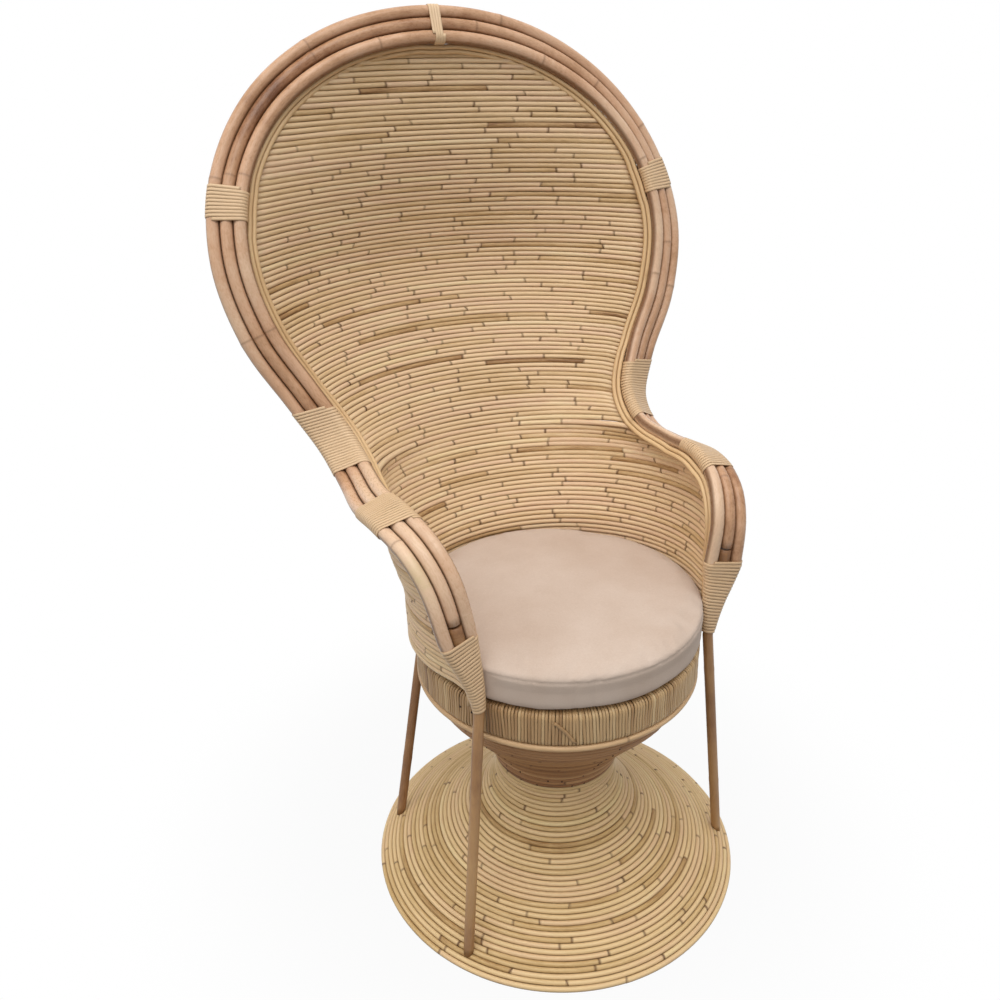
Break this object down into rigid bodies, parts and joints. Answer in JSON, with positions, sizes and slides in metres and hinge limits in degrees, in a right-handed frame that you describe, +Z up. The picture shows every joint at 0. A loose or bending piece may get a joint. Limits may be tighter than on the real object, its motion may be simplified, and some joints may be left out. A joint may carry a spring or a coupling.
{
  "type": "peacock chair",
  "caption": "High-backed peacock chair: tall rounded cane back that runs down into low arms, round drum seat with a loose cushion, on an hourglass base.",
  "frame": {"origin": "on the floor under the middle of the whole chair's box", "axes": "+Z up, the sitter faces -Y, +X to the right of someone who looks at the chair from the front"},
  "size_m": [0.7938, 0.788, 1.3099],
  "materials": {
    "cane_rod": "clear varnish, satin",
    "bent_pole": "clear varnish, satin",
    "leg_pole": "worn varnish, satin",
    "inner_pole": "bare, dull",
    "cane_strip": "natural glaze, satin",
    "cushion_cloth": "matte woven cloth"
  },
  "bodies": {
    "chair": {"base_skirt": "cane_rod", "seat_band": "cane_strip", "seat_pole_upper": "inner_pole", "seat_pole_lower": "inner_pole", "seat_ring_rod": "cane_rod", "under_seat_flare": "cane_rod", "seat_deck": "inner_pole", "deck_bearer_1": "inner_pole", "deck_bearer_2": "inner_pole", "deck_bearer_3": "inner_pole", "floor_hoop": "inner_pole", "neck_hoop": "inner_pole", "base_rib_1": "inner_pole", "base_rib_2": "inner_pole", "base_rib_3": "inner_pole", "base_rib_4": "inner_pole", "base_rib_5": "inner_pole", "base_rib_6": "inner_pole", "frame_pole_outer_left": "bent_pole", "frame_pole_middle_left": "bent_pole", "frame_pole_inner_left": "bent_pole", "frame_pole_outer_right": "bent_pole", "frame_pole_middle_right": "bent_pole", "frame_pole_inner_right": "bent_pole", "front_leg_left": "leg_pole", "front_leg_right": "leg_pole", "edge_rod_outer": "cane_rod", "edge_rod_inner": "cane_rod", "back_wall": "cane_rod", "back_rib_1": "inner_pole", "back_rib_2": "inner_pole", "back_rib_3": "inner_pole", "rear_leg_left": "leg_pole", "rear_leg_right": "leg_pole", "binding_top": "cane_strip", "binding_upper_left": "cane_strip", "binding_waist_left": "cane_strip", "binding_arm_left": "cane_strip", "binding_leg_left": "cane_strip", "binding_upper_right": "cane_strip", "binding_waist_right": "cane_strip", "binding_arm_right": "cane_strip", "binding_leg_right": "cane_strip"},
    "cushion": {"seat_cushion": "cushion_cloth"}
  },
  "joints": [
    {"name": "cushion_lift", "type": "slide", "parent": "chair", "child": "cushion", "axis": [0, 0, 1], "range_m": [0, 0.3]}
  ]
}
